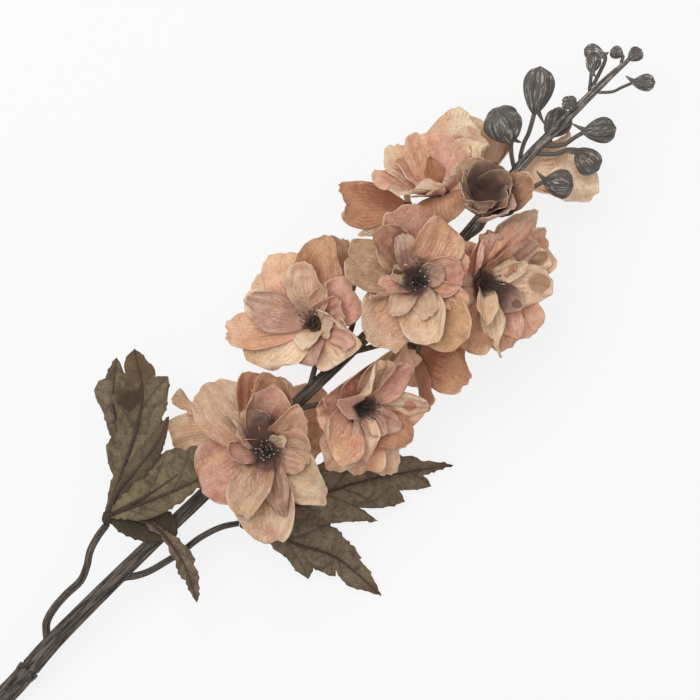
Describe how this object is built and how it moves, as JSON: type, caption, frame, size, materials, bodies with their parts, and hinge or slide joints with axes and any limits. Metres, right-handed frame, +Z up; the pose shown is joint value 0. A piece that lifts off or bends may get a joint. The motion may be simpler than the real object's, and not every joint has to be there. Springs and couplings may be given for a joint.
{
  "type": "delphinium flower spike",
  "caption": "Cut spike of double delphinium laid on its back: ruffled open blooms crowded round one stem, ridged spurred buds at its tip, and cut, toothed leaves on long stalks lower down.",
  "frame": {"origin": "centre of the flat spot under the stem's cut end, on the surface that the spike lies on", "axes": "+X runs along the stem from its cut end to its tip, +Z is up from the surface, and +Y is the side that leaf_left is on"},
  "size_m": [0.486, 0.1602, 0.0864],
  "materials": {
    "petals": "matt thin petal cloth, dusty peach with darker veins and a brown-purple foot",
    "stamens": "matt dark brown with pale tips",
    "leaves": "matt olive brown leaf cloth with raised dark ribs",
    "buds": "matt grey brown, dusted pale on the ridges",
    "stem": "matt dark grey brown, fine lengthwise grooves, dusted pale"
  },
  "bodies": {
    "root": {"bloom_01": "petals", "bloom_01_stamens": "stamens", "bloom_02": "petals", "bloom_02_stamens": "stamens", "bloom_03": "petals", "bloom_03_stamens": "stamens", "bloom_04": "petals", "bloom_04_stamens": "stamens", "bloom_05": "petals", "bloom_05_stamens": "stamens", "bloom_06": "petals", "bloom_07": "petals", "bloom_08": "petals", "bloom_09": "petals", "bloom_10": "petals", "bloom_11": "petals", "bloom_12": "petals", "bloom_13": "petals", "bloom_14": "petals", "bloom_15": "petals", "bud_01": "buds", "bud_02": "buds", "bud_03": "buds", "bud_04": "buds", "bud_05": "buds", "bud_06": "buds", "bud_07": "buds", "bud_08": "buds", "bud_09": "buds", "bud_10": "buds", "bud_11": "buds", "bud_12": "buds", "leaf_left": "leaves", "leaf_right": "leaves", "stem": "stem"}
  },
  "joints": []
}
